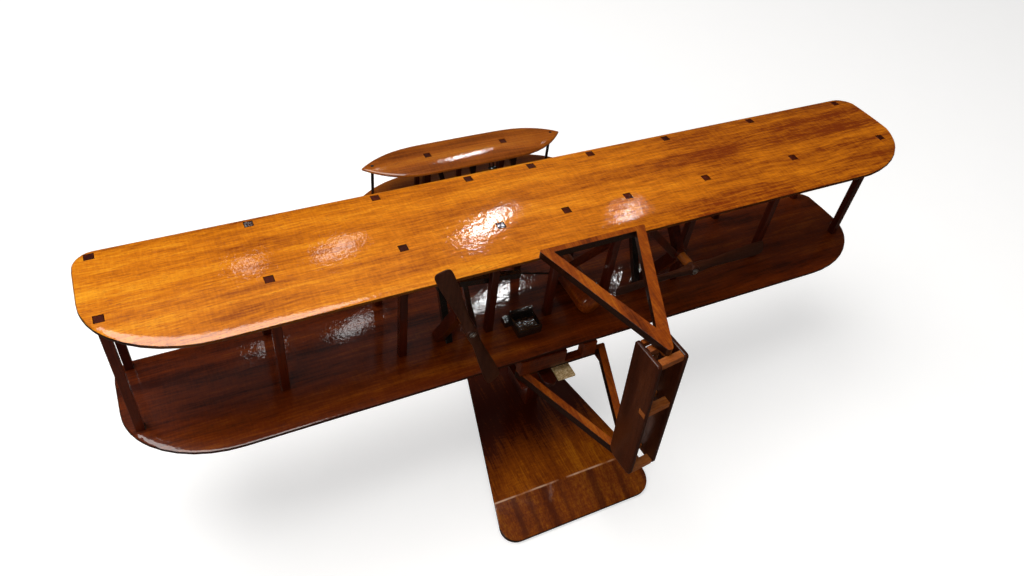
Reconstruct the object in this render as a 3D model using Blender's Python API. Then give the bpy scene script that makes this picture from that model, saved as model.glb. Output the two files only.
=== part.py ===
"""Desktop model of an early canard pusher biplane on a post and base board. Sizes in millimetres."""
import math

import bmesh
import bpy
from mathutils import Matrix, Vector

MM = 0.001
GAP = 0.15                  # glue gap between touching pieces

# Driving dimensions. X is starboard, Y is forward, Z is up from the table; Y = 0 is the rear strut row.
UPPER_TOP = 196.7           # top of the upper wing at the rear strut row
LOWER_TOP = 110.7           # top of the lower wing at the rear strut row
WING_THICK = 2.9
WING_SHIFT = 2.5            # the wings sit this far to starboard of the strut pattern
WING_HALF_SPAN = 256.2
WING_REAR, WING_FRONT = -30.2, 50.6
TIP_REAR = (57.0, 43.0)     # half-axes of the wing tip's rear corner, along X and Y
TIP_FRONT = (11.0, 13.0)
STRUT_X = (0.0, 41.4, 98.1, 167.8, 245.0)
FRONT_ROW = 45.4
STRUT = 4.7                 # square section
STAY_X = 68.4
CHORD_STEPS = 8             # facets along the top of a board

SHAFT_X, SHAFT_Z, SHAFT_R = 73.3, 161.5, 2.85
PROP_Y, PROP_R, PROP_BORE = -37.6, 54.3, 0.88
HUB_HALF = 2.75             # half the length of a propeller's hub
SHAFT_END = -14.5           # where a dowel shaft ends, just forward of its bracket
RIVET_R = 0.85
PORT_LEAN, STARBOARD_TILT = 20.5, 2.2   # blade angles at rest, degrees
BRACKET_Y = -22.5           # where the bearing brackets carry the shafts

HINGE = (0.4, -100.0, 193.0)            # a point on the rudder's hinge line, which leans to port
HINGE_LEAN, RUDDER_YAW = 4.1, 4.3       # degrees
PIVOT_R = 1.25
RUDDER_CHORD, RUDDER_BACK = 20.3, 2.85   # the chord, and how far its middle lies aft of the hinge
RUDDER_TOP, RUDDER_BOTTOM = -3.6, -106.4    # measured down the hinge line from HINGE
FIN_OUTER, FIN_THICK = 9.5, 2.6
POST_TOP, POST_BOTTOM = -0.2, -112.5    # the post ends inside the upper tail frame
TAIL_START = -29.4          # where the tail frames' heights are measured

ELEVATOR_UPPER, ELEVATOR_LOWER, ELEVATOR_THICK = 144.6, 120.2, 2.5
ELEVATOR_HALF, ELEVATOR_TIP = 76.9, 138.6   # half-span, and Y of the rear edge at the tip
ELEVATOR_Y = 137.9          # the row of members between the boards
TIP_STRUT_X, TIP_STRUT_Y, TIP_STRUT_R = 69.6, 138.9, 1.05

BASE_TOP, BASE_LIP = 12.5, 2.7
BASE_CREASE = 65.0          # where the top of the base starts to slope down, fore and aft
BASE_REAR, BASE_FRONT = -93.0, 88.0
BASE_WIDE, BASE_NARROW = 60.5, 20.5     # half-widths at the rear and the front
BASE_SHIFT = -3.3           # the rear end of the base board stands this far to port
BASE_CORNER = 12.5
BASE_UNDERCUT = 2.4         # how far the base's underside stands in from its top edge
SKID_X = 29.4

WOOD_GOLD = (0.42, 0.17, 0.045)
WOOD_RED = (0.20, 0.06, 0.025)
WOOD_DARK = (0.075, 0.028, 0.016)
BLACK = (0.012, 0.011, 0.011)
STEEL = (0.62, 0.62, 0.60)
TAN = (0.62, 0.47, 0.30)
DOWEL = (0.55, 0.27, 0.08)
RAIL = (0.40, 0.18, 0.07)
SMOOTH_ANGLE = 32           # degrees; a sharper edge is shaded hard
SIDES = (("port", -1), ("starboard", 1))


def clear_scene():
    for obj in list(bpy.data.objects):
        bpy.data.objects.remove(obj, do_unlink=True)


def material(name, colour, roughness, metallic=0.0):
    mat = bpy.data.materials.get(name)
    if mat:
        return mat
    mat = bpy.data.materials.new(name)
    mat.use_nodes = True
    shader = mat.node_tree.nodes["Principled BSDF"]
    shader.inputs["Base Color"].default_value = (*colour, 1.0)
    shader.inputs["Roughness"].default_value = roughness
    shader.inputs["Metallic"].default_value = metallic
    return mat


def pivot(name, origin, turn):
    """An empty on a joint's axis, which carries the pieces that turn there."""
    empty = bpy.data.objects.new(name, None)
    empty.location = Vector(origin) * MM
    empty.rotation_mode = "ZYX"
    empty.rotation_euler = [math.radians(angle) for angle in turn]
    bpy.context.scene.collection.objects.link(empty)
    return empty


def emit(name, bm, mat=None, helper=False, parent=None):
    """One object from a bmesh in millimetres, shaded smooth but for its sharp edges."""
    bmesh.ops.recalc_face_normals(bm, faces=bm.faces[:])
    mesh = bpy.data.meshes.new(name)
    bmesh.ops.scale(bm, vec=(MM, MM, MM), verts=bm.verts[:])
    bm.to_mesh(mesh)
    bm.free()
    mesh.shade_smooth()
    mesh.set_sharp_from_angle(angle=math.radians(SMOOTH_ANGLE))
    obj = bpy.data.objects.new(name, mesh)
    obj.parent = parent
    bpy.context.scene.collection.objects.link(obj)
    if mat:
        mesh.materials.append(mat)
    if helper:
        obj.hide_render = True
        obj.display_type = "WIRE"
    return obj


def loft(bm, rings):
    """A closed skin through rings of equal length, capped at both ends."""
    rows = [[bm.verts.new(p) for p in ring] for ring in rings]
    count = len(rows[0])
    for low, high in zip(rows, rows[1:]):
        for i in range(count):
            j = (i + 1) % count
            bm.faces.new((low[i], low[j], high[j], high[i]))
    bm.faces.new(rows[0][::-1])
    bm.faces.new(rows[-1])
    return bm


def prism(points, low, high, plane="XY"):
    """Extrudes 2-D points between two levels along the axis the plane leaves out."""
    def at(p, level):
        if plane == "XY":
            return (p[0], p[1], level)
        if plane == "YZ":
            return (level, p[0], p[1])
        return (p[0], level, p[1])
    return loft(bmesh.new(), [[at(p, level) for p in points] for level in (low, high)])


def box(low, high):
    points = [(low[0], low[1]), (high[0], low[1]), (high[0], high[1]), (low[0], high[1])]
    return prism(points, low[2], high[2])


def beam(a, b, wide, thick, side):
    """A straight bar of rectangular section; wide lies along side as far as square ends allow."""
    a, b = Vector(a), Vector(b)
    along = (b - a).normalized()
    side = Vector(side)
    side = (side - along * side.dot(along)).normalized()
    other = along.cross(side)
    rings = []
    for end in (a, b):
        rings.append([end + side * (s * wide / 2) + other * (t * thick / 2)
                      for s, t in ((-1, -1), (1, -1), (1, 1), (-1, 1))])
    return loft(bmesh.new(), rings)


def rod(a, b, radius, sides=16):
    a, b = Vector(a), Vector(b)
    along = (b - a).normalized()
    side = along.orthogonal().normalized()
    other = along.cross(side)
    turn = [2 * math.pi * (i + 0.5) / sides for i in range(sides)]
    rings = [[end + side * (radius * math.cos(t)) + other * (radius * math.sin(t)) for t in turn]
             for end in (a, b)]
    return loft(bmesh.new(), rings)


def turned(profile, origin, axis, sides=32):
    """Revolves (radius, distance) pairs about an axis; the first and last radius close with caps."""
    axis = Vector(axis).normalized()
    side = axis.orthogonal().normalized()
    other = axis.cross(side)
    origin = Vector(origin)
    turn = [2 * math.pi * (i + 0.5) / sides for i in range(sides)]
    return loft(bmesh.new(), [[origin + axis * d + side * (r * math.cos(t)) + other * (r * math.sin(t))
                               for t in turn] for r, d in profile])


def trim(bm, point, normal):
    """Cuts away what lies on the normal's side of a plane and closes the cut."""
    geom = bm.verts[:] + bm.edges[:] + bm.faces[:]
    cut = bmesh.ops.bisect_plane(bm, geom=geom, plane_co=point, plane_no=normal, clear_outer=True)
    edges = [e for e in cut["geom_cut"] if isinstance(e, bmesh.types.BMEdge)]
    bmesh.ops.edgenet_fill(bm, edges=edges)
    return bm


def boolean(obj, cutter, operation="DIFFERENCE"):
    mod = obj.modifiers.new(operation.lower() + "_" + cutter.name, "BOOLEAN")
    mod.object = cutter
    mod.operation = operation
    mod.solver = "EXACT"
    return obj


def bevel(obj, width, segments=2, angle=35):
    mod = obj.modifiers.new("rounded_edges", "BEVEL")
    mod.width = width * MM
    mod.segments = segments
    mod.limit_method = "ANGLE"
    mod.angle_limit = math.radians(angle)
    return obj


def joined(parts):
    """Several closed shapes in one bmesh, for a cutter."""
    whole = bmesh.new()
    for part in parts:
        mesh = bpy.data.meshes.new("joined")
        part.to_mesh(mesh)
        part.free()
        whole.from_mesh(mesh)
        bpy.data.meshes.remove(mesh)
    return whole


def rounded(corners, steps=6):
    """A closed outline through (x, y, radius) corners, each rounded by an arc tangent to its edges."""
    points = []
    for i, (x, y, radius) in enumerate(corners):
        here = Vector((x, y))
        if not radius:
            points.append(tuple(here))
            continue
        back = (Vector(corners[i - 1][:2]) - here).normalized()
        ahead = (Vector(corners[(i + 1) % len(corners)][:2]) - here).normalized()
        half = back.angle(ahead) / 2
        centre = here + (back + ahead).normalized() * (radius / math.sin(half))
        start = here + back * (radius / math.tan(half)) - centre
        sweep = math.copysign(math.pi - 2 * half, back.y * ahead.x - back.x * ahead.y)
        for k in range(steps + 1):
            points.append(tuple(centre + Matrix.Rotation(sweep * k / steps, 2) @ start))
    return points


def smooth_table(table, x):
    """Cubic interpolation through a table, with slopes limited so that it never overshoots."""
    x = min(max(x, table[0][0]), table[-1][0])
    for i in range(len(table) - 1):
        if x <= table[i + 1][0]:
            break
    steps = [(b[1] - a[1]) / (b[0] - a[0]) for a, b in zip(table, table[1:])]

    def slope(k):
        if k == 0 or k == len(table) - 1:
            return steps[0] if k == 0 else steps[-1]
        before, after = steps[k - 1], steps[k]
        return 0.0 if before * after <= 0 else 2 * before * after / (before + after)
    x0, y0 = table[i]
    x1, y1 = table[i + 1]
    h = x1 - x0
    t = (x - x0) / h
    return ((1 + 2 * t) * (1 - t) ** 2 * y0 + t * (1 - t) ** 2 * h * slope(i)
            + t * t * (3 - 2 * t) * y1 + t * t * (t - 1) * h * slope(i + 1))


def wing_top(level, y):
    """Height of a cambered wing's top, which falls away fore and aft of Y = 5."""
    return level - (1.55 * ((y - 5) / 40) ** 2 if y > 5 else 0.5 * ((5 - y) / 42) ** 2)


def board_ring(x, rear, front, top, thick):
    """Section of a thin board with rounded edges, as a closed loop of points."""
    chord = front - rear
    inset = min(1.6, chord * 0.2)
    ys = [rear + inset + (chord - 2 * inset) * i / CHORD_STEPS for i in range(CHORD_STEPS + 1)]
    lip = inset * 0.28
    ring = [(x, y, top(y)) for y in ys]
    for edge, inward, turn in ((front, -lip, (0.16, 0.5, 0.84)), (rear, lip, (0.84, 0.5, 0.16))):
        if edge == rear:
            ring += [(x, y, top(y) - thick) for y in reversed(ys)]
        ring += [(x, edge + (0 if share == 0.5 else inward), top(edge) - thick * share)
                 for share in turn]
    return ring


def board(stations, centre, rear, front, top, thick):
    """A thin board of varying chord, mirrored about its centre, with softened tips."""
    rings = []
    for offset in [-x for x in reversed(stations[1:])] + list(stations):
        out = abs(offset)
        slim = thick
        if out == stations[-1]:
            slim = thick * 0.45
        elif out == stations[-2]:
            slim = thick * 0.82
        sunk = (thick - slim) / 2
        rings.append(board_ring(centre + offset, rear(out), front(out),
                                lambda y, o=out, s=sunk: top(o, y) - s, slim))
    return loft(bmesh.new(), rings)


def corner(start, reach, depth, out):
    """How far a quarter ellipse has left its straight edge at this distance out."""
    t = min(max((out - start) / reach, 0.0), 1.0)
    return depth * (1 - math.sqrt(1 - t * t))


def wing_rear(out):
    return WING_REAR + corner(WING_HALF_SPAN - TIP_REAR[0], *TIP_REAR, out)


def wing_front(out):
    return WING_FRONT - corner(WING_HALF_SPAN - TIP_FRONT[0], *TIP_FRONT, out)


def wing_stations():
    """Distances out from the wing's centre, closer together round the two corners of the tip."""
    found = {0.0, 60.0, 120.0, 160.0}
    for reach, turn in ((TIP_REAR[0], 9), (TIP_FRONT[0], 15)):
        for angle in range(0, 91, turn):
            found.add(WING_HALF_SPAN - reach + reach * math.sin(math.radians(angle)))
    return sorted(found)


def make_wings():
    mortise = STRUT / 2 + GAP
    for name, level, colour, rough in (("upper_wing", UPPER_TOP, WOOD_GOLD, 0.16),
                                       ("lower_wing", LOWER_TOP, WOOD_RED, 0.18)):
        shape = board(wing_stations(), WING_SHIFT, wing_rear, wing_front,
                      lambda out, y, z=level: wing_top(z, y), WING_THICK)
        wing = emit(name, shape, material(name, colour, rough))
        cuts = []
        for x in sorted({sign * x for x in STRUT_X for sign in (-1, 1)}):
            for y in (0.0, FRONT_ROW):
                cuts.append(box((x - mortise, y - mortise, level - 12),
                                (x + mortise, y + mortise, level + 6)))
        boolean(wing, emit("cut_" + name + "_mortises", joined(cuts), helper=True))


def make_strut(name, x, y):
    """A square strut whose ends fill the mortises of both wings."""
    half = STRUT / 2
    low = wing_top(LOWER_TOP, y) - WING_THICK
    bm = box((x - half, y - half, low), (x + half, y + half, wing_top(UPPER_TOP, y)))
    bevel(emit(name, bm, material(name, WOOD_DARK, 0.22)), 0.25, 1)


def make_interplane_struts():
    for row, y in (("rear", 0.0), ("front", FRONT_ROW)):
        make_strut(f"strut_{row}_centre", STRUT_X[0], y)
        for index, x in enumerate(STRUT_X[1:], 1):
            for side, sign in SIDES:
                make_strut(f"strut_{row}_{side}_{index}", sign * x, y)


def make_bracket(side, sign):
    """A bearing bracket shaped like an arrowhead pointing aft, with a sleeve round the shaft."""
    x = sign * SHAFT_X
    half, side_half = 4.0, 2.6
    high = (9.0, wing_top(UPPER_TOP, 9) - WING_THICK - GAP)
    low = (4.5, wing_top(LOWER_TOP, 4) + GAP)
    outline = [(BRACKET_Y - half, SHAFT_Z), (high[0] - half, high[1]), (high[0] + half, high[1]),
               (BRACKET_Y + half * 0.9, SHAFT_Z), (low[0] + half, low[1]), (low[0] - half, low[1])]
    name = "bearing_bracket_" + side
    obj = emit(name, prism(outline, x - side_half, x + side_half, "YZ"), material(name, WOOD_DARK, 0.25))
    joins = [rod((x, BRACKET_Y - 3.2, SHAFT_Z), (x, BRACKET_Y + 5.4, SHAFT_Z), SHAFT_R + 1.15, 24)]
    if side == "starboard":
        brace = beam((71.0, -22.0, 160.0), (38.0, -22.0, 196.3), 4.5, 4.0, (1, 0, 0))
        trim(brace, (0, 0, wing_top(UPPER_TOP, -24) - WING_THICK - GAP), (0, 0, 1))
        joins.append(brace)
    for index, join in enumerate(joins):
        boolean(obj, emit(f"join_{name}_{index}", join, helper=True), "UNION")
    bore = rod((x, -60, SHAFT_Z), (x, 40, SHAFT_Z), SHAFT_R + 0.12, 24)
    boolean(obj, emit("cut_" + name, bore, helper=True))


def blade_ring(r):
    """Blade section at signed radius r."""
    a = abs(r)
    width = smooth_table([(0, 7.0), (5, 6.8), (12, 5.8), (24, 7.4), (38, 9.4), (48, 10.2), (52, 9.8),
                          (53.6, 8.6), (PROP_R, 6.5)], a)
    thick = smooth_table([(0, 5.6), (5, 5.2), (12, 3.6), (24, 2.5), (40, 1.9), (50, 1.4), (PROP_R, 0.9)], a)
    pitch = math.radians(smooth_table([(0, 0), (6, 9), (16, 14), (30, 12), (PROP_R, 10)], a))
    slant = 0.17 * smooth_table([(0, 0), (36, 0), (50, 1), (PROP_R, 1)], a)
    across = 1 if r >= 0 else -1
    ring = []
    count = 12
    for i in range(count):
        t = 2 * math.pi * (i + 0.5) / count
        c = math.copysign(abs(math.cos(t)) ** 0.75, math.cos(t)) * width / 2
        d = math.copysign(abs(math.sin(t)) ** 0.8, math.sin(t)) * thick / 2
        tangent = across * (c * math.cos(pitch) - d * math.sin(pitch))
        axial = c * math.sin(pitch) + d * math.cos(pitch)
        ring.append((-tangent, axial, r - across * slant * (c + width / 2) * 0.8))
    return ring


def ordered(ring, r):
    """Keeps the points of rings on both sides of the hub in step round the section."""
    if r >= 0:
        return ring
    count = len(ring)
    return [ring[(count // 2 - 1 - i) % count] for i in range(count)]


def make_propeller(side, sign, angle):
    """A twisted two-blade wooden propeller, built about its own pivot with its blades along Z."""
    shaft = pivot("pivot_propeller_" + side, (sign * SHAFT_X, PROP_Y, SHAFT_Z), (0, angle, 0))
    radii = [4, 7, 10, 13, 17, 22, 27, 32, 37, 41, 45, 48, 50.5, 52.3, 53.6, PROP_R]
    stations = [-r for r in reversed(radii)] + radii
    name = "propeller_" + side
    obj = emit(name, loft(bmesh.new(), [ordered(blade_ring(r), r) for r in stations]),
               material(name, WOOD_DARK, 0.38), parent=shaft)
    boss = turned([(3.2, -HUB_HALF), (3.6, 0.45 - HUB_HALF), (3.6, HUB_HALF - 0.45), (3.2, HUB_HALF)],
                  (0, 0, 0), (0, 1, 0), 24)
    boolean(obj, emit("join_" + name, boss, helper=True, parent=shaft), "UNION")
    bore = rod((0, -8, 0), (0, 8, 0), PROP_BORE, 24)
    boolean(obj, emit("cut_" + name, bore, helper=True, parent=shaft))


def make_drive(side, sign):
    """Dowel shaft, hub rivet and leaning front stay of one side."""
    x = sign * SHAFT_X
    face = PROP_Y + HUB_HALF + 0.3
    length = SHAFT_END - face
    name = "prop_shaft_" + side
    shaft = turned([(SHAFT_R - 0.4, 0), (SHAFT_R, 0.4), (SHAFT_R, length - 0.4), (SHAFT_R - 0.4, length)],
                   (x, face, SHAFT_Z), (0, 1, 0), 24)
    obj = emit(name, shaft, material(name, DOWEL, 0.2))
    hole = rod((x, face - 5, SHAFT_Z), (x, face + 9, SHAFT_Z), PROP_BORE, 24)
    boolean(obj, emit("cut_" + name, hole, helper=True))
    name = "hub_rivet_" + side
    rivet = turned([(0.7, -0.25), (0.75, -0.55), (1.1, -0.75), (1.7, -0.75), (2.05, -0.45), (2.05, -0.1),
                    (1.8, 0.0), (RIVET_R, 0.0), (RIVET_R, 14.0)],
                   (x, PROP_Y - HUB_HALF - 0.25, SHAFT_Z), (0, 1, 0), 24)
    emit(name, rivet, material(name, STEEL, 0.25, 1.0))
    name = "front_stay_" + side
    sx = sign * STAY_X
    stay = beam((sx, -5.6, 100.9), (sx, 47.0, 202.1), 4.4, 4.0, (1, 0, 0))
    trim(stay, (0, 0, LOWER_TOP + GAP), (0, 0, -1))
    trim(stay, (0, 41.5, wing_top(UPPER_TOP, 41.5) - WING_THICK - 0.3), (0, 0.07, 1))
    emit(name, stay, material(name, BLACK, 0.2))


def make_port_gear():
    y = STRUT / 2 + 2.35
    bar = beam((-76.0, y, 156.3), (-21.6, y, 148.6), 4.0, 4.2, (0, 1, 0))
    obj = emit("drive_frame_port", bar, material("drive_frame_port", BLACK, 0.12))
    leg = beam((-58.6, y, 153.2), (-48.0, y, 105.8), 3.2, 3.2, (0, 1, 0))
    trim(leg, (0, 0, wing_top(LOWER_TOP, y) + GAP), (0, 0, -1))
    boolean(obj, emit("join_drive_leg", leg, helper=True), "UNION")
    link = rod((-21.2, y, 148.6), (-1.2, STRUT / 2 + 0.9, 143.4), 0.65, 10)
    emit("drive_rod_port", link, material("drive_rod_port", BLACK, 0.2))


def make_starboard_gear():
    guide = beam((78, 9.8, 163.6), (4.6, 9.8, 131.4), 4.0, 3.0, (0, 1, 0))
    trim(guide, (SHAFT_X, 9.8, SHAFT_Z - SHAFT_R - 0.2), (0.2, 0, 1))
    obj = emit("chain_guide_starboard", guide, material("chain_guide_starboard", WOOD_DARK, 0.2))
    post = box((5.0, 7.9, wing_top(LOWER_TOP, 9) + 0.3), (8.8, 11.7, 132.4))
    boolean(obj, emit("join_guide_post", post, helper=True), "UNION")


def make_engine():
    """Engine block with a hollow top, a raised front lip and a side flange."""
    floor = LOWER_TOP + GAP
    block = bevel(emit("engine_block", box((-27.4, -14.5, floor), (-10.8, 1.0, floor + 6.8)),
                       material("engine_block", BLACK, 0.08)), 1.0, 2)
    lip = box((-27.0, -1.2, floor + 1.0), (-11.2, 1.4, floor + 9.4))
    flange = box((-31.0, -3.0, floor), (-26.0, 3.0, floor + 4.0))
    for name, shape in (("lip", lip), ("flange", flange)):
        boolean(block, emit("join_engine_" + name, shape, helper=True), "UNION")
    hollow = box((-26.0, -13.1, floor + 5.4), (-12.2, -2.4, floor + 9))
    boolean(block, emit("cut_engine_top", hollow, helper=True))


def make_tank():
    r = 8.6
    profile = [(0.8, -0.25), (1.2, 0.0), (5.0, 0.35), (7.3, 1.5), (8.3, 3.2), (r, 5.2), (r, 6.6),
               (r - 0.3, 6.8), (r - 0.3, 7.1), (r, 7.3), (r, 42.0), (7.9, 44.4), (6.0, 46.0), (3.0, 46.6)]
    tank = turned(profile, (25.7, -12.6, LOWER_TOP + 0.2 + r), (0, 1, 0), 36)
    emit("fuel_tank", tank, material("fuel_tank", WOOD_RED, 0.16))


def tail_outline(outer, inner, skew):
    """Plan outlines of a triangular tail frame from (half-width, front, apex) of its outside and opening."""
    wide, front, apex = outer
    opening_wide, opening_front, opening_apex = inner

    def at(x, y):
        return (x + skew * (front - y) / (front - apex), y)
    outside = rounded([(*at(-wide, front), 1.0), (*at(wide, front), 1.0), (*at(0, apex), 2.2)])
    return outside, [at(-opening_wide, opening_front), at(opening_wide, opening_front), at(0, opening_apex)]


def make_tail_frame(name, mat, outline, top, thick, slope, hinge):
    """A triangular frame whose top lies at this height at Y = TAIL_START and slopes from there."""
    outer, inner = outline
    shape = prism(outer, top - thick, top)
    for vert in shape.verts:
        vert.co.z += slope * (vert.co.y - TAIL_START)
    frame = emit(name, shape, mat)
    boolean(frame, emit("cut_" + name, prism(inner, top - 40, top + 40), helper=True))
    bore = rod((0, 0, POST_BOTTOM - 10), (0, 0, POST_TOP + 0.3), PIVOT_R + 0.09, 20)
    boolean(frame, emit("cut_" + name + "_bore", bore, helper=True, parent=hinge))


def make_tail(hinge):
    make_tail_frame("tail_frame_upper", material("tail_frame_upper", WOOD_GOLD, 0.16),
                    tail_outline((33.4, -29.2, -112.4), (26.0, -32.6, -94.6), 1.25), 201.2, 4.5, 0.0873,
                    hinge)
    make_tail_frame("tail_frame_lower", material("tail_frame_lower", WOOD_RED, 0.18),
                    tail_outline((32.9, -24.5, -108.0), (26.6, -27.6, -95.0), 8.9), 94.15, 5.6, 0.13, hinge)


def make_fin(side, sign, tenon, hinge):
    front = RUDDER_CHORD / 2 - RUDDER_BACK
    rear = front - RUDDER_CHORD
    outline = rounded([(front, RUDDER_TOP, 1.5), (rear, RUDDER_TOP, 2.0), (rear, RUDDER_BOTTOM, 3.5),
                       (front, RUDDER_BOTTOM, 6.0)])
    faces = sorted((sign * (FIN_OUTER - FIN_THICK), sign * FIN_OUTER))
    name = "rudder_fin_" + side
    fin = emit(name, prism(outline, *faces, "YZ"), material(name, WOOD_DARK, 0.22), parent=hinge)
    bevel(fin, 0.7, 3)
    (low_y, low_z), (high_y, high_z) = tenon
    slot = box((faces[0] - 3, low_y - GAP, low_z - GAP), (faces[1] + 3, high_y + GAP, high_z + GAP))
    boolean(fin, emit("cut_" + name, slot, helper=True, parent=hinge))


def make_rudder(hinge):
    """Two fins on a ladder of rails round the hinge post, built upright about the hinge line."""
    rear = RUDDER_CHORD / 2 - RUDDER_BACK - RUDDER_CHORD
    tenon = ((rear + 0.7, -48.1), (rear + 5.6, -44.0))
    for side, sign in SIDES:
        make_fin(side, sign, tenon, hinge)
    name = "rudder_ladder"
    ladder = emit(name, rod((0, 0, POST_BOTTOM), (0, 0, POST_TOP), PIVOT_R, 20), material(name, RAIL, 0.25),
                  parent=hinge)
    inner = FIN_OUTER - FIN_THICK - GAP
    middle, low = tenon[0][1], RUDDER_BOTTOM
    spans = [(FIN_OUTER, tenon[0], tenon[1]),
             (inner, (rear + 0.6, low + 0.8), (rear + 5.6, low + 4.6)),
             (inner, (-2.2, low + 3.4), (2.2, low + 6.8)),
             (inner, (-2.2, middle - 1.9), (2.2, middle + 2.1)),
             (inner, (rear + 0.8, RUDDER_TOP - 3.8), (rear + 4.8, RUDDER_TOP)),
             (inner, (-2.4, RUDDER_TOP - 3.8), (1.4, RUDDER_TOP)),
             (inner, (3.6, RUDDER_TOP - 3.4), (6.2, RUDDER_TOP)),
             (1.3, (rear + 3.0, low + 3.5), (0.0, low + 4.5)),
             (1.3, (rear + 3.0, middle + 0.2), (0.0, middle + 1.4)),
             (1.3, (rear + 3.0, RUDDER_TOP - 2.6), (4.6, RUDDER_TOP - 1.2))]
    for index, (wide, (low_y, low_z), (high_y, high_z)) in enumerate(spans):
        rail = box((-wide, low_y, low_z), (wide, high_y, high_z))
        boolean(ladder, emit(f"join_rail_{index}", rail, helper=True, parent=hinge), "UNION")


def elevator_rear(out):
    return 119.8 + (ELEVATOR_TIP - 119.8) * (max(out - 24, 0) / (ELEVATOR_HALF - 24)) ** 3.1


def elevator_front(out):
    return 153.2 + (ELEVATOR_TIP + 1 - 153.2) * (max(out - 30, 0) / (ELEVATOR_HALF - 30)) ** 2.4


def elevator_top(level, out, y):
    return level - 1.1 * ((y - 137.5) / 16) ** 2 - 1.6 * (out / ELEVATOR_HALF) ** 3


def elevator_board(name, level):
    stations = [0, 14, 28, 36, 44, 51, 57, 62, 66, 69.5, 72.4, 74.6, ELEVATOR_HALF]
    shape = board(stations, 0.0, elevator_rear, elevator_front,
                  lambda out, y: elevator_top(level, out, y), ELEVATOR_THICK)
    obj = emit(name, shape, material(name, WOOD_RED, 0.16))
    gap = STRUT / 2 + GAP
    cuts = []
    for sign in (-1, 1):
        x = sign * SKID_X
        cuts.append(box((x - gap, ELEVATOR_Y - gap, level - 10), (x + gap, ELEVATOR_Y + gap, level + 8)))
        x = sign * TIP_STRUT_X
        cuts.append(rod((x, TIP_STRUT_Y, level - 10), (x, TIP_STRUT_Y, level + 8), TIP_STRUT_R + GAP, 16))
    boolean(obj, emit("cut_" + name, joined(cuts), helper=True))


def fitted(bm, floor, roof):
    """Trims a member between the two elevator boards."""
    return trim(trim(bm, (0, 0, roof), (0, 0, 1)), (0, 0, floor), (0, 0, -1))


def make_elevator_struts():
    half, low, high = STRUT / 2, ELEVATOR_LOWER - 2.7, ELEVATOR_UPPER - 0.1
    for side, sign in SIDES:
        name = "elevator_strut_" + side
        x = sign * SKID_X
        post = box((x - half, ELEVATOR_Y - half, low), (x + half, ELEVATOR_Y + half, high))
        bevel(emit(name, post, material(name, WOOD_DARK, 0.22)), 0.25, 1)
        name = "elevator_tip_strut_" + side
        x = sign * TIP_STRUT_X
        tip = rod((x, TIP_STRUT_Y, ELEVATOR_LOWER - 3.65), (x, TIP_STRUT_Y, ELEVATOR_UPPER - 1.25),
                  TIP_STRUT_R, 16)
        emit(name, tip, material(name, BLACK, 0.25))


def make_elevator():
    elevator_board("elevator_upper", ELEVATOR_UPPER)
    elevator_board("elevator_lower", ELEVATOR_LOWER)
    make_elevator_struts()
    roof, floor = ELEVATOR_UPPER - ELEVATOR_THICK - 0.35, ELEVATOR_LOWER + 0.2
    y = ELEVATOR_Y
    for name, x in (("elevator_post_port", -37.0), ("elevator_post_centre", -4.2)):
        emit(name, box((x - 1.5, y - 1.5, floor), (x + 1.5, y + 1.5, roof)), material(name, WOOD_RED, 0.3))
    brace = fitted(beam((-24.4, y, 146), (-16.2, y, 117), 3.4, 3.0, (1, 0, 0)), floor, roof)
    emit("elevator_brace_port", brace, material("elevator_brace_port", BLACK, 0.25))
    for side, x, lean in (("centre", 7.6, 6.3), ("starboard", 40.9, 7.2)):
        name = "elevator_vee_" + side
        arms = [fitted(beam((x, y, floor - 3), (x + dx, y, roof + 3), wide, 2.6, (1, 0, 0)), floor, roof)
                for dx, wide in ((-lean, 2.8), (0.7, 2.6))]
        obj = emit(name, arms[0], material(name, BLACK, 0.2))
        boolean(obj, emit("join_" + name, arms[1], helper=True), "UNION")
    make_control_rods(floor, roof)


def make_control_rods(floor, roof):
    """Two thin leaning rods on a common foot."""
    y = ELEVATOR_Y
    foot = box((20.4, y - 1.3, floor), (26.4, y + 1.3, floor + 1.2))
    obj = emit("control_rods", foot, material("control_rods", BLACK, 0.3))
    for index, shift in enumerate((0.0, 2.9)):
        line = fitted(rod((17.0 + shift, y, 148), (22.2 + shift, y, 116), 0.55, 10), floor + 0.2, roof)
        boolean(obj, emit(f"join_control_rod_{index}", line, helper=True), "UNION")


def skid_outline():
    """Side outline of a skid: a flat run that curves up to the elevator."""
    path = [(-34.4, 86.8), (-31.0, 86.2), (-26.5, 86.0), (55.0, 86.0), (72.0, 86.3), (86.0, 88.2),
            (99.0, 92.2), (111.0, 98.2), (121.5, 105.0), (131.0, 112.0), (137.6, 116.2)]
    path = [Vector(p) for p in path]
    upper, lower = [], []
    for i, p in enumerate(path):
        along = (path[min(i + 1, len(path) - 1)] - path[max(i - 1, 0)]).normalized()
        normal = Vector((-along.y, along.x)) * (0.9 if i == 0 else 1.45)
        upper.append(tuple(p + normal))
        lower.append(tuple(p - normal))
    return upper + lower[::-1]


def make_skids():
    half, post_half = 2.0, 1.8
    for side, sign in SIDES:
        x = sign * SKID_X
        name = "skid_" + side
        bm = prism(skid_outline(), x - half, x + half, "YZ")
        trim(bm, (0, 0, ELEVATOR_LOWER - 3.05), (0, 0, 1))
        obj = emit(name, bm, material(name, WOOD_DARK, 0.25))
        for index, y in enumerate((0.0, FRONT_ROW - 3)):
            top = wing_top(LOWER_TOP, y + post_half) - WING_THICK - 0.2
            post = box((x - post_half, y - post_half, 86.0), (x + post_half, y + post_half, top))
            boolean(obj, emit(f"join_{name}_{index}", post, helper=True), "UNION")


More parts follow.
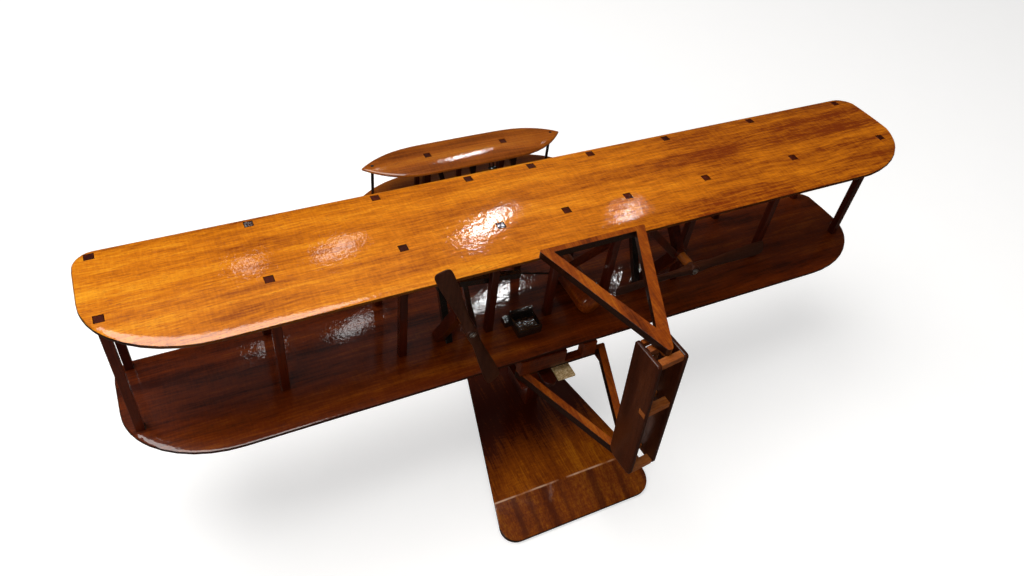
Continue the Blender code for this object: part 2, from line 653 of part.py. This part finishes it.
def make_belly():
    spacer = box((-32.0, -30.8, 95.0), (22.0, -24.6, LOWER_TOP - WING_THICK - 0.75))
    obj = emit("tail_spacer", spacer, material("tail_spacer", WOOD_RED, 0.25))
    notch = box((0.0, -40, 96.2), (12.3, -10, 110))
    boolean(obj, emit("cut_tail_spacer", notch, helper=True))
    tile = box((-6.4, -37.0, 86.0), (6.0, -25.2, 87.8))
    bevel(emit("belly_tile", tile, material("belly_tile", TAN, 0.45)), 0.3, 1)
    outline = rounded([(-15.7, -24.8, 0), (-15.7, -38.0, 4.0), (-6.8, -38.0, 4.0), (-6.8, -24.8, 0)])
    emit("belly_pad", prism(outline, 84.6, 87.5), material("belly_pad", WOOD_DARK, 0.25))


def base_outline(inset):
    """Plan outline of the base board: wide aft, narrow forward, with rounded corners."""
    slope = (BASE_WIDE - BASE_NARROW) / (BASE_FRONT - BASE_REAR)
    rear, front = BASE_REAR + inset, BASE_FRONT - inset
    side = inset * math.hypot(1, slope)
    wide, narrow = (BASE_WIDE - slope * (y - BASE_REAR) - side for y in (rear, front))
    radius = BASE_CORNER - inset
    return rounded([(BASE_SHIFT + wide, rear, radius), (narrow, front, radius), (-narrow, front, radius),
                    (BASE_SHIFT - wide, rear, radius)], 8)


def make_stand():
    rings = [[(x, y, z) for x, y in base_outline(inset)]
             for z, inset in ((0.0, BASE_UNDERCUT), (BASE_TOP, 0.0))]
    bm = loft(bmesh.new(), rings)
    fall = BASE_TOP - BASE_LIP
    trim(bm, (0, -BASE_CREASE, BASE_TOP), (0, -fall, -BASE_CREASE - BASE_REAR))
    trim(bm, (0, BASE_CREASE, BASE_TOP), (0, fall, BASE_FRONT - BASE_CREASE))
    bevel(emit("base_board", bm, material("base_board", WOOD_GOLD, 0.14)), 0.5, 2, 30)
    aft, fore = -0.2, 30.0
    tops = [wing_top(LOWER_TOP, y) - WING_THICK - 0.25 for y in (aft, fore)]
    outline = [(aft, BASE_TOP + 0.2), (fore, BASE_TOP + 0.2), (fore, tops[1] - 0.1), (aft, tops[0])]
    post = emit("stand_post", prism(outline, -3.0, 7.4, "YZ"), material("stand_post", WOOD_DARK, 0.2))
    bevel(post, 0.4, 2)


def main():
    clear_scene()
    make_wings()
    make_interplane_struts()
    for side, sign in SIDES:
        make_bracket(side, sign)
        make_drive(side, sign)
    make_propeller("port", -1, -PORT_LEAN)
    make_propeller("starboard", 1, 90 - STARBOARD_TILT)
    make_port_gear()
    make_starboard_gear()
    make_engine()
    make_tank()
    hinge = pivot("rudder_hinge", HINGE, (0, -HINGE_LEAN, RUDDER_YAW))
    make_tail(hinge)
    make_rudder(hinge)
    make_elevator()
    make_skids()
    make_belly()
    make_stand()


main()
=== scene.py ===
"""Looks for a lacquered mahogany desktop model of a canard pusher biplane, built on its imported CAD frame."""
import math

import bpy
from mathutils import Matrix, Vector


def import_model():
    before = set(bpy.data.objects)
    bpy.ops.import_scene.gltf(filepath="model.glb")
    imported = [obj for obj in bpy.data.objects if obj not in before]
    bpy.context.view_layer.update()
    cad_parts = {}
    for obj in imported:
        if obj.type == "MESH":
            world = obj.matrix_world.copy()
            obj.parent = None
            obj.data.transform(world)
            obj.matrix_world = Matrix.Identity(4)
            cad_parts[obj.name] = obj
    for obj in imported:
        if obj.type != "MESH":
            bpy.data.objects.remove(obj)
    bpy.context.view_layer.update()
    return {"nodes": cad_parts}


# Camera, in the frame's metres and degrees.
CAMERA_AT = Vector((-0.20733, -0.29217, 0.48576))
CAMERA_AZIMUTH, CAMERA_ELEVATION, CAMERA_ROLL = -31.49, 45.02, 8.53
LENS_MM, SENSOR_MM = 28.217, 36.0
CAMERA_CLIP = 0.01

# Linear colours of the woods: dark grain, body and light figure.
GOLD_WOOD = ((0.190, 0.028, 0.0008), (0.620, 0.175, 0.0030), (0.930, 0.390, 0.016))
# redder than the gold wood, and darker partly as painted shade of the upper wing over the lower wing; also
# used for the tail spacer and the fuel tank
RED_SHADED_WOOD = ((0.040, 0.0040, 0.0002), (0.150, 0.022, 0.0005), (0.330, 0.080, 0.002))
BASE_WOOD = ((0.045, 0.0045, 0.0003), (0.230, 0.048, 0.0010), (0.520, 0.160, 0.004))
FRAME_WOOD = ((0.060, 0.008, 0.0004), (0.230, 0.042, 0.0014), (0.460, 0.130, 0.005))
ELEVATOR_WOOD = ((0.110, 0.020, 0.0010), (0.310, 0.074, 0.004), (0.500, 0.160, 0.011))
DARK_WOOD = ((0.014, 0.0012, 0.0002), (0.050, 0.0050, 0.0005), (0.110, 0.015, 0.002))
SATIN_WOOD = ((0.015, 0.0035, 0.001), (0.038, 0.0090, 0.003), (0.075, 0.0210, 0.007))
FIN_WOOD = ((0.016, 0.0028, 0.0006), (0.042, 0.0080, 0.002), (0.085, 0.0210, 0.006))
RAIL_WOOD = ((0.120, 0.024, 0.003), (0.260, 0.066, 0.010), (0.420, 0.140, 0.030))
DOWEL_WOOD = ((0.100, 0.020, 0.002), (0.220, 0.055, 0.006), (0.360, 0.110, 0.015))
# painted shade colour for faces that stand upright
PAINTED_SIDE_SHADE = (0.014, 0.0030, 0.0008)
# painted highlight colour of the base's crease line
CREASE_HIGHLIGHT = (0.80, 0.52, 0.34)

# Grain. Scales are per metre, the first along the grain and the second across it.
TONE_PLACES = (0.05, 0.45, 0.9)     # where a wood's three colours lie on its tone
GRAIN_WANDER = 0.007                # how far the grain drifts sideways, in metres
DRIFT_SCALE = (9, 30)
FIGURE = 0.42                       # share of the tone that the ribbons give in strongly figured wood
LINE_SHARE = 0.34
RIBBON_RUN = 5.0
FLECK_SCALE = (900.0, 170.0)
PORE_SCALE = (260.0, 2600.0)
PORE_DEPTH = 0.55                   # how dark the pores are
CLOUD_SCALE = 14

# The lacquer, and the skin of the black paint.
LACQUER_IOR = 1.5
WOOD_SPECULAR = 0.15                # lacquer and wood differ little, so the wood under it hardly shines
BROAD_RIPPLE, FINE_RIPPLE = (62, 0.0006), (420, 0.00034)    # scale per metre and height in metres

# The base board behind its crease, as Y in metres.
CREASE_Y = -0.065
# softness of the planed edge, and how far from the crease the painted highlight line reaches, in metres
CREASE_SOFT, CREASE_HIGHLIGHT_REACH = 0.001, (0.0002, 0.0008)
SLOPE_TONE, SLOPE_BAND_TONE, SLOPE_BAND_SCALE = 0.25, 0.65, 110

# Rounding of the edges that catch the light, in metres.
EDGE_ROUNDING = {
    "tail_frame_upper": 0.0005, "tail_frame_lower": 0.0005, "tail_spacer": 0.0004, "rudder_ladder": 0.0003,
    "belly_pad": 0.0004, "chain_guide_starboard": 0.0004, "drive_frame_port": 0.0005,
    "bearing_bracket_port": 0.0004, "bearing_bracket_starboard": 0.0004, "front_stay_port": 0.0003,
    "front_stay_starboard": 0.0003, "skid_port": 0.0003, "skid_starboard": 0.0003, "base_board": 0.0007,
}
SMOOTH_ANGLE = 32                   # degrees; a sharper edge is shaded hard, and rounded where listed above
BASE_CREASE_ANGLE = 15              # the base's shallow crease is rounded too
FLAT_ANGLE = 0.4
WELD_DISTANCE = 0.000004

# Studio, in metres, degrees and watts.
FLOOR_RADIUS, FLOOR_DROP = 9.0, 0.0004
FLOOR_GLOW = 0.55                   # what the camera alone sees the floor give off
LIGHT_TARGET = Vector((0.0, 0.0, 0.15))
KEY_AT, KEY_SIZE, KEY_WATTS, KEY_TINT = (-0.40, 0.12, 1.35), (0.95, 0.95), 17.5, (1.0, 0.985, 0.96)
FILL_AZIMUTH, FILL_ELEVATION, FILL_DISTANCE = -128, 24, 2.6
FILL_SIZE, FILL_WATTS, FILL_TINT = (1.2, 1.2), 16, (1.0, 0.96, 0.92)
LAMP_DISTANCE = 3.0
LAMPS = (  # name, azimuth, elevation, size, watts, turn about the lamp's own axis
    ("lamp_main", 27.0, 41.3, (0.05, 0.24), 1.7, -28),
    ("lamp_right", 42.4, 40.2, (0.03, 0.08), 0.36, 15),
    ("lamp_left", 10.8, 42.1, (0.09, 0.20), 0.34, -28),
    ("lamp_far_left", 1.4, 42.0, (0.06, 0.16), 0.15, 0),
    ("wall_glow", 4.0, 49.0, (1.2, 0.40), 0.14, 0),
)
ROOM_LIGHT = (0.16, 0.155, 0.15, 1.0)
ROOM_IN_MIRROR = (0.022, 0.016, 0.013, 1.0)
ROOM_TO_CAMERA = (1.0, 1.0, 1.0, 1.0)


class Graph:
    """A material's node tree with short calls for the nodes used here."""

    def __init__(self, name):
        self.material = bpy.data.materials.new(name)
        self.material.use_nodes = True
        self.tree = self.material.node_tree
        self.shader = self.tree.nodes["Principled BSDF"]
        self.coords = self.tree.nodes.new("ShaderNodeTexCoord").outputs["Object"]

    def link(self, value, socket):
        if hasattr(value, "is_linked"):
            self.tree.links.new(value, socket)
        else:
            socket.default_value = value

    def new(self, kind, **settings):
        node = self.tree.nodes.new("ShaderNode" + kind)
        for key, value in settings.items():
            setattr(node, key, value)
        return node

    def math(self, operation, a, b=0.0):
        node = self.new("Math", operation=operation)
        self.link(a, node.inputs[0])
        self.link(b, node.inputs[1])
        return node.outputs[0]

    def plus(self, a, b):
        return self.math("ADD", a, b)

    def minus(self, a, b):
        return self.math("SUBTRACT", a, b)

    def times(self, a, b):
        return self.math("MULTIPLY", a, b)

    def split(self, vector):
        node = self.new("SeparateXYZ")
        self.link(vector, node.inputs[0])
        return node.outputs

    def join(self, x, y, z):
        node = self.new("CombineXYZ")
        for value, socket in zip((x, y, z), node.inputs):
            self.link(value, socket)
        return node.outputs[0]

    def noise(self, vector, scale=1.0, detail=2.0, roughness=0.5):
        node = self.new("TexNoise")
        self.link(vector, node.inputs["Vector"])
        node.inputs["Scale"].default_value = scale
        node.inputs["Detail"].default_value = detail
        node.inputs["Roughness"].default_value = roughness
        return node.outputs["Fac"]

    def remap(self, value, low, high, to_low=0.0, to_high=1.0, smooth=False):
        node = self.new("MapRange", interpolation_type="SMOOTHSTEP" if smooth else "LINEAR")
        self.link(value, node.inputs["Value"])
        limits = {"From Min": low, "From Max": high, "To Min": to_low, "To Max": to_high}
        for socket, number in limits.items():
            node.inputs[socket].default_value = number
        return node.outputs["Result"]

    def ramp(self, value, colours, places=None):
        node = self.new("ValToRGB")
        self.link(value, node.inputs["Fac"])
        places = places or [i / (len(colours) - 1) for i in range(len(colours))]
        while len(node.color_ramp.elements) < len(colours):
            node.color_ramp.elements.new(0.5)
        for element, place, colour in zip(node.color_ramp.elements, places, colours):
            element.position = place
            element.color = (*colour, 1.0)
        return node.outputs["Color"]

    def mix(self, factor, a, b):
        node = self.new("Mix", data_type="RGBA")
        self.link(factor, node.inputs["Factor"])
        self.link(a if hasattr(a, "is_linked") else (*a, 1.0), node.inputs["A"])
        self.link(b if hasattr(b, "is_linked") else (*b, 1.0), node.inputs["B"])
        return node.outputs["Result"]

    def bump(self, height, strength, distance, normal=None):
        node = self.new("Bump")
        self.link(height, node.inputs["Height"])
        node.inputs["Strength"].default_value = strength
        node.inputs["Distance"].default_value = distance
        if normal:
            self.link(normal, node.inputs["Normal"])
        return node.outputs["Normal"]

    def surface(self, colour, roughness, **sockets):
        self.link(colour, self.shader.inputs["Base Color"])
        self.link(roughness, self.shader.inputs["Roughness"])
        for name, value in sockets.items():
            self.link(value, self.shader.inputs[name.replace("_", " ")])
        return self.material


def grain_space(graph, axis, seed):
    """Where a point lies along, across and through the grain, which wanders a little sideways."""
    x, y, z = graph.split(graph.coords)
    along, side, depth = {"X": (x, y, z), "Y": (y, x, z), "Z": (z, x, y)}[axis]
    along = graph.plus(along, seed)
    place = graph.join(graph.times(along, DRIFT_SCALE[0]), graph.times(side, DRIFT_SCALE[1]), depth)
    wander = graph.times(graph.minus(graph.noise(place), 0.5), GRAIN_WANDER)
    return along, graph.plus(side, wander), depth


def stretched(graph, space, run, cross, detail, roughness=0.55):
    """Noise drawn out along the grain, with its scales along and across it."""
    along, side, depth = space
    place = graph.join(graph.times(along, run), graph.times(side, cross), graph.times(depth, cross))
    return graph.noise(place, 1.0, detail, roughness)


def grain_tone(graph, space, ribbon, streak, run, figure, fleck):
    """How light the wood is: broad ribbons, fine streaks, cross flecks and slow clouds."""
    bands = graph.remap(stretched(graph, space, RIBBON_RUN, ribbon, 2.0), 0.34, 0.66)
    lines = graph.remap(stretched(graph, space, run, streak, 3.0, 0.65), 0.3, 0.7)
    flecks = graph.remap(stretched(graph, space, *FLECK_SCALE, 2.0), 0.3, 0.7)
    clouds = graph.minus(graph.noise(graph.coords, CLOUD_SCALE), 0.5)
    tone = graph.plus(graph.times(bands, figure), graph.times(lines, LINE_SHARE))
    tone = graph.plus(tone, (FIGURE - figure) * 0.5)    # plainer wood keeps its mean tone
    tone = graph.plus(tone, graph.times(flecks, fleck))
    return graph.plus(tone, graph.times(clouds, 0.5))


def painted_shade_towards(graph, tone, axis, start, end, amount):
    """Painted shade: the colour darkens along one axis, from start to end in metres."""
    place = graph.split(graph.coords)["XYZ".index(axis)]
    return graph.minus(tone, graph.remap(place, start, end, 0.0, amount, smooth=True))


def lacquer_normals(graph, pores, peel):
    """Pores press into the wood; the lacquer over them has its own ripple, broad and fine."""
    wood_normal = graph.bump(pores, 0.25, 0.0002)
    broad = graph.bump(graph.noise(graph.coords, BROAD_RIPPLE[0], 1.0), peel, BROAD_RIPPLE[1])
    fine = graph.bump(graph.noise(graph.coords, FINE_RIPPLE[0], 2.5, 0.6), peel, FINE_RIPPLE[1], broad)
    return wood_normal, fine


def painted_side_shade(graph, colour, tone):
    """Painted shade: faces that stand upright are mixed towards the given darker tone."""
    normal = graph.new("NewGeometry").outputs["Normal"]
    upright = graph.math("ABSOLUTE", graph.split(normal)[2])
    return graph.mix(graph.remap(upright, 0.35, 0.85), tone, colour)


def planed_slope(graph, colour, side, tones, start):
    """Behind start the board is planed down across its growth rings, which show as bands, and its colour is
    darker; a painted highlight line runs along the crease.
    """
    along = graph.split(graph.coords)[1]
    rings = graph.noise(graph.join(side, 0.0, 0.0), SLOPE_BAND_SCALE, 1.0)
    bands = graph.remap(rings, 0.44, 0.64, smooth=True)
    planed = graph.remap(along, start, start - CREASE_SOFT)
    colour = graph.mix(graph.times(planed, SLOPE_TONE), colour, tones[0])
    colour = graph.mix(graph.times(graph.times(bands, planed), SLOPE_BAND_TONE), colour, tones[0])
    # painted highlight line along the crease, broken up by noise
    near = graph.remap(graph.math("ABSOLUTE", graph.minus(along, start)), *CREASE_HIGHLIGHT_REACH, 1.0, 0.0)
    patchy = graph.remap(graph.noise(graph.coords, 90), 0.35, 0.6)
    return graph.mix(graph.times(near, graph.times(patchy, 0.7)), colour, CREASE_HIGHLIGHT)


def wood(name, tones, axis="X", ribbon=85, streak=800, run=24.0, figure=FIGURE, fleck=0.12, coat=1.0,
         coat_roughness=0.045, roughness=0.38, peel=0.16, painted_shade=None, side_shade_colour=None, planed=None, seed=0.0):
    """Quarter-cut mahogany with dark pores, under clear lacquer. The grain runs along axis."""
    graph = Graph(name)
    space = grain_space(graph, axis, seed)
    tone = grain_tone(graph, space, ribbon, streak, run, figure, fleck)
    # painted shade along one axis, for boards that are given one
    if painted_shade:
        tone = painted_shade_towards(graph, tone, *painted_shade)
    colour = graph.ramp(tone, tones, TONE_PLACES)
    pores = graph.remap(stretched(graph, space, *PORE_SCALE, 1.0), 0.60, 0.70)
    colour = graph.mix(graph.times(pores, PORE_DEPTH), colour, tones[0])
    # the planed slope, with a painted highlight line along its crease
    if planed:
        colour = planed_slope(graph, colour, space[1], tones, planed)
    # painted shade on faces that stand upright
    if side_shade_colour:
        colour = painted_side_shade(graph, colour, side_shade_colour)
    normal, coat_normal = lacquer_normals(graph, pores, peel)
    return graph.surface(colour, roughness, Normal=normal, Coat_Weight=coat, Coat_Roughness=coat_roughness,
                         Coat_Normal=coat_normal, Coat_IOR=LACQUER_IOR, Specular_IOR_Level=WOOD_SPECULAR)


def black_lacquer():
    """Thick black gloss paint with dust specks and a slightly wavy skin."""
    graph = Graph("black_lacquer")
    specks = graph.remap(graph.noise(graph.coords, 2400, 1.0), 0.68, 0.74)
    clouds = graph.noise(graph.coords, 60, 3.0)
    colour = graph.ramp(clouds, ((0.004, 0.0035, 0.003), (0.014, 0.010, 0.008)))
    colour = graph.mix(graph.times(specks, 0.5), colour, (0.06, 0.05, 0.04))
    ripple = graph.bump(graph.noise(graph.coords, 420, 3.0), 0.4, 0.0006)
    return graph.surface(colour, graph.remap(clouds, 0.3, 0.7, 0.10, 0.22), Coat_Weight=1.0,
                         Coat_Roughness=0.04, Normal=ripple, Coat_Normal=ripple)


def plated_steel():
    """Bright plated metal with fine turning marks."""
    graph = Graph("plated_steel")
    marks = graph.noise(graph.coords, 3000)
    colour = graph.ramp(marks, ((0.42, 0.41, 0.38), (0.80, 0.79, 0.76)))
    return graph.surface(colour, graph.remap(marks, 0.3, 0.7, 0.16, 0.34), Metallic=1.0,
                         Normal=graph.bump(marks, 0.1, 0.0001))


def painted_lamp_reflection():
    """Pale, unlacquered speckled colour for the belly block's top: a painted reflection of a bright lamp, with
    darker and lighter specks.
    """
    graph = Graph("painted_lamp_reflection")
    cells = graph.new("TexVoronoi")
    cells.inputs["Scale"].default_value = 900
    graph.link(graph.coords, cells.inputs["Vector"])
    grit = graph.noise(graph.coords, 1800)
    mixed = graph.plus(graph.times(cells.outputs["Distance"], 0.6), graph.times(grit, 0.5))
    reflection_specks = ((0.16, 0.075, 0.022), (0.42, 0.27, 0.11), (0.70, 0.56, 0.34))
    return graph.surface(graph.ramp(mixed, reflection_specks, (0.2, 0.5, 0.85)), 0.55,
                         Normal=graph.bump(grit, 0.35, 0.0003))


def floor_material():
    """Pale to the eye, but dim in the lacquer's reflections, as a floor in an unlit room would be."""
    graph = Graph("studio_floor")
    path = graph.new("LightPath").outputs
    pale = graph.ramp(graph.noise(graph.coords, 30, 3.0), ((0.60, 0.60, 0.60), (0.63, 0.63, 0.63)))
    colour = graph.mix(path["Is Glossy Ray"], pale, (0.05, 0.03, 0.02))
    glow = graph.times(path["Is Camera Ray"], FLOOR_GLOW)
    return graph.surface(colour, 0.9, Emission_Color=(1.0, 1.0, 1.0, 1.0), Emission_Strength=glow)


def smooth_group():
    """Geometry nodes: smooth shading everywhere but across edges sharper than a set angle."""
    tree = bpy.data.node_groups.new("smooth_by_angle", "GeometryNodeTree")
    tree.interface.new_socket("Geometry", in_out="INPUT", socket_type="NodeSocketGeometry")
    tree.interface.new_socket("Geometry", in_out="OUTPUT", socket_type="NodeSocketGeometry")
    source, sink = tree.nodes.new("NodeGroupInput"), tree.nodes.new("NodeGroupOutput")
    faces = tree.nodes.new("GeometryNodeSetShadeSmooth")
    faces.domain = "FACE"
    faces.inputs["Shade Smooth"].default_value = True
    edges = tree.nodes.new("GeometryNodeSetShadeSmooth")
    edges.domain = "EDGE"
    edges.inputs["Shade Smooth"].default_value = False
    angle = tree.nodes.new("GeometryNodeInputMeshEdgeAngle")
    sharp = tree.nodes.new("FunctionNodeCompare")
    sharp.operation = "GREATER_THAN"
    sharp.inputs[1].default_value = math.radians(SMOOTH_ANGLE)
    tree.links.new(source.outputs[0], faces.inputs["Geometry"])
    tree.links.new(faces.outputs[0], edges.inputs["Geometry"])
    tree.links.new(angle.outputs["Unsigned Angle"], sharp.inputs[0])
    tree.links.new(sharp.outputs[0], edges.inputs["Selection"])
    tree.links.new(edges.outputs[0], sink.inputs[0])
    return tree


def finish_surface(name, obj, group):
    """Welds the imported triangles, smooths the shading and rounds the listed pieces' edges a little."""
    edge = EDGE_ROUNDING.get(name, 0.0)
    bpy.context.view_layer.objects.active = obj
    bpy.ops.mesh.customdata_custom_splitnormals_clear()
    weld = obj.modifiers.new("weld", "WELD")
    weld.merge_threshold = WELD_DISTANCE
    if edge:
        flat = obj.modifiers.new("join_flat_faces", "DECIMATE")
        flat.decimate_type = "DISSOLVE"
        flat.angle_limit = math.radians(FLAT_ANGLE)
    smooth = obj.modifiers.new("smooth_by_angle", "NODES")
    smooth.node_group = group
    if edge:
        bevel = obj.modifiers.new("soft_edges", "BEVEL")
        bevel.width = edge
        bevel.segments = 2
        bevel.limit_method = "ANGLE"
        bevel.angle_limit = math.radians(BASE_CREASE_ANGLE if name == "base_board" else SMOOTH_ANGLE)
        bevel.harden_normals = True


def board_materials():
    """The woods of single pieces, by node name."""
    return {
        # upper wing: painted shade, darker towards starboard, and painted shade on its upright faces
        "upper_wing": wood("golden_wing_mahogany", GOLD_WOOD, "X", figure=0.26, run=70, side_shade_colour=PAINTED_SIDE_SHADE,
                           painted_shade=("X", -0.03, 0.13, 0.27)),
        # lower wing: darker red partly as painted shade, painted shadow of the upper wing ahead of the lit
        # strip along the trailing edge, and painted shade on its upright faces
        "lower_wing": wood("red_shaded_wing_mahogany", RED_SHADED_WOOD, "X", run=60, seed=1.7, side_shade_colour=PAINTED_SIDE_SHADE,
                           painted_shade=("Y", -0.030, 0.004, 0.12)),
        # base board: painted shadow of the lower wing towards the front, a painted highlight line along the
        # crease, and painted shade on its upright faces
        "base_board": wood("base_mahogany", BASE_WOOD, "Y", ribbon=110, streak=900, figure=0.22, run=60,
                           fleck=0.16, seed=3.1, side_shade_colour=PAINTED_SIDE_SHADE, peel=0.12, planed=CREASE_Y,
                           painted_shade=("Y", -0.055, -0.010, 0.45)),
        # tail frames: painted shade on their upright faces
        "tail_frame_upper": wood("tail_mahogany", FRAME_WOOD, "Y", seed=4.4, side_shade_colour=PAINTED_SIDE_SHADE),
        "tail_frame_lower": wood("tail_mahogany_lower", FRAME_WOOD, "Y", seed=5.2, side_shade_colour=PAINTED_SIDE_SHADE),
        "tail_spacer": wood("spacer_mahogany", RED_SHADED_WOOD, "X", seed=6.0),
        "fuel_tank": wood("tank_mahogany", RED_SHADED_WOOD, "Y", seed=7.3),
        "rudder_ladder": wood("rail_wood", RAIL_WOOD, "X", seed=8.0, coat=0.5, coat_roughness=0.2),
    }


def shared_materials():
    """Materials of groups of pieces, by how their names start; the first match counts."""
    elevator = wood("elevator_mahogany", ELEVATOR_WOOD, "X", seed=9.1)
    upright = wood("strut_wood", DARK_WOOD, "Z", seed=10.0)
    bracket = wood("dark_bracket_wood", DARK_WOOD, "Z", seed=11.0, coat=0.8)
    skid = wood("skid_wood", DARK_WOOD, "Y", seed=12.0, coat=0.8)
    satin = {"coat": 0.25, "coat_roughness": 0.3, "roughness": 0.42}
    port_blades = wood("propeller_wood", SATIN_WOOD, "Z", seed=13.0, **satin)
    starboard_blades = wood("propeller_wood_flat", SATIN_WOOD, "X", seed=13.5, **satin)
    fin = wood("fin_wood", FIN_WOOD, "Z", seed=14.0, coat=0.5, coat_roughness=0.18)
    dowel = wood("dowel_wood", DOWEL_WOOD, "Y", seed=15.0)
    black = black_lacquer()
    return (("strut_", upright), ("elevator_strut", upright), ("elevator_post", upright),
            ("elevator_upper", elevator), ("elevator_lower", elevator), ("elevator_", black),
            ("control_rods", black), ("engine_block", black), ("drive_", black), ("front_stay", black),
            ("bearing_bracket", bracket), ("chain_guide", bracket), ("stand_post", bracket),
            # the belly block's top carries a painted reflection of a lamp
            ("belly_tile", painted_lamp_reflection()), ("belly_pad", skid), ("skid_", skid),
            ("propeller_port", port_blades), ("propeller_", starboard_blades), ("prop_shaft", dowel),
            ("hub_rivet", plated_steel()), ("rudder_fin", fin))


def dress(nodes, group):
    """Gives every CAD node its material and its softened edges."""
    boards, shared = board_materials(), shared_materials()
    for name, obj in nodes.items():
        material = boards.get(name) or next(m for start, m in shared if name.startswith(start))
        obj.data.materials.clear()
        obj.data.materials.append(material)
        finish_surface(name, obj, group)


def add_floor():
    bpy.ops.mesh.primitive_circle_add(vertices=96, radius=FLOOR_RADIUS, fill_type="NGON",
                                      location=(0, 0, -FLOOR_DROP))
    floor = bpy.context.object
    floor.name = "studio_floor"
    floor.data.materials.append(floor_material())


def add_light(name, at, size, watts, colour=(1, 1, 1), turn=0.0):
    """A rectangular lamp that faces the model, turned about its own axis by turn degrees."""
    data = bpy.data.lights.new(name, "AREA")
    data.shape = "RECTANGLE"
    data.size, data.size_y = size
    data.energy = watts
    data.color = colour
    light = bpy.data.objects.new(name, data)
    light.location = at
    facing = (LIGHT_TARGET - Vector(at)).to_track_quat("-Z", "Y").to_matrix()
    light.rotation_euler = (facing @ Matrix.Rotation(math.radians(turn), 3, "Z")).to_euler()
    bpy.context.scene.collection.objects.link(light)


def direction(azimuth, elevation):
    """Unit vector at azimuth degrees from +Y towards +X, and elevation degrees up."""
    a, e = math.radians(azimuth), math.radians(elevation)
    return Vector((math.sin(a) * math.cos(e), math.cos(a) * math.cos(e), math.sin(e)))


def add_lights():
    """A softbox above the port wing, a low fill, and dim lamps whose mirror images glare in the lacquer."""
    add_light("key_softbox", KEY_AT, KEY_SIZE, KEY_WATTS, KEY_TINT)
    fill_at = LIGHT_TARGET + direction(FILL_AZIMUTH, FILL_ELEVATION) * FILL_DISTANCE
    add_light("low_fill", fill_at, FILL_SIZE, FILL_WATTS, FILL_TINT)
    for name, azimuth, elevation, size, watts, turn in LAMPS:
        at = LIGHT_TARGET + direction(azimuth, elevation) * LAMP_DISTANCE
        add_light(name, at, size, watts, turn=turn)


def set_world():
    """Soft room light, dim where the lacquer mirrors it and white behind the floor's edge."""
    world = bpy.data.worlds.new("studio")
    bpy.context.scene.world = world
    world.use_nodes = True
    tree = world.node_tree
    path = tree.nodes.new("ShaderNodeLightPath").outputs
    in_mirror, to_camera = (tree.nodes.new("ShaderNodeMix") for _ in range(2))
    rays = ((in_mirror, "Is Glossy Ray", ROOM_IN_MIRROR), (to_camera, "Is Camera Ray", ROOM_TO_CAMERA))
    for mix, ray, colour in rays:
        mix.data_type = "RGBA"
        tree.links.new(path[ray], mix.inputs["Factor"])
        mix.inputs["B"].default_value = colour
    in_mirror.inputs["A"].default_value = ROOM_LIGHT
    tree.links.new(in_mirror.outputs["Result"], to_camera.inputs["A"])
    tree.links.new(to_camera.outputs["Result"], tree.nodes["Background"].inputs["Color"])


def add_camera():
    data = bpy.data.cameras.new("camera")
    data.lens, data.sensor_width = LENS_MM, SENSOR_MM
    data.clip_start = CAMERA_CLIP
    camera = bpy.data.objects.new("camera", data)
    back = direction(CAMERA_AZIMUTH, CAMERA_ELEVATION)
    back.y = -back.y
    turn = back.to_track_quat("Z", "Y").to_matrix() @ Matrix.Rotation(math.radians(CAMERA_ROLL), 3, "Z")
    camera.matrix_world = Matrix.Translation(CAMERA_AT) @ turn.to_4x4()
    bpy.context.scene.collection.objects.link(camera)
    bpy.context.scene.camera = camera


def main():
    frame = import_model()
    bpy.context.scene.view_settings.view_transform = "Standard"
    add_camera()
    dress(frame["nodes"], smooth_group())
    add_floor()
    add_lights()
    set_world()


main()
